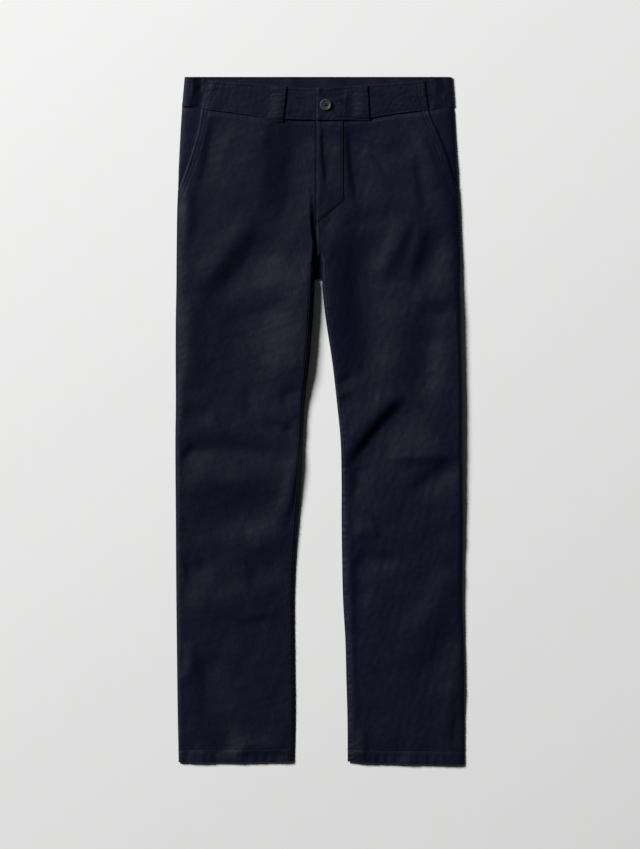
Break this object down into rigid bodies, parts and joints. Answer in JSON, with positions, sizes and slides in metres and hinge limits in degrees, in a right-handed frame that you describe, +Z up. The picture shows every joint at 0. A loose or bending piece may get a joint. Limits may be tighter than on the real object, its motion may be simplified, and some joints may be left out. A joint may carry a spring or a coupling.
{
  "type": "chino trousers",
  "caption": "Straight-leg cotton twill chino trousers laid flat, front up, with slant pockets, a buttoned waistband, a closed fly and wide belt loops.",
  "frame": {"origin": "on the surface that the trousers lie on, under the middle of the garment", "axes": "+Y from the hems to the waist, +Z up out of the front, +X to the wearer's left"},
  "size_m": [0.4513, 1.0726, 0.0136],
  "materials": {
    "twill": "brushed navy cotton twill, matt",
    "zip_tape": "woven tape, matt",
    "button": "moulded resin, satin"
  },
  "bodies": {
    "root": {"back_panel_right": "twill", "back_panel_left": "twill", "front_panel_right": "twill", "front_panel_left": "twill", "pocket_facing_right": "twill", "pocket_facing_left": "twill", "waistband_back": "twill", "waistband_front_right": "twill", "waistband_front_left": "twill", "belt_loop_front_right": "twill", "belt_loop_front_left": "twill", "belt_loop_back_right": "twill", "belt_loop_back_centre": "twill", "belt_loop_back_left": "twill", "fly_zip": "zip_tape", "waist_button": "button"}
  },
  "joints": []
}
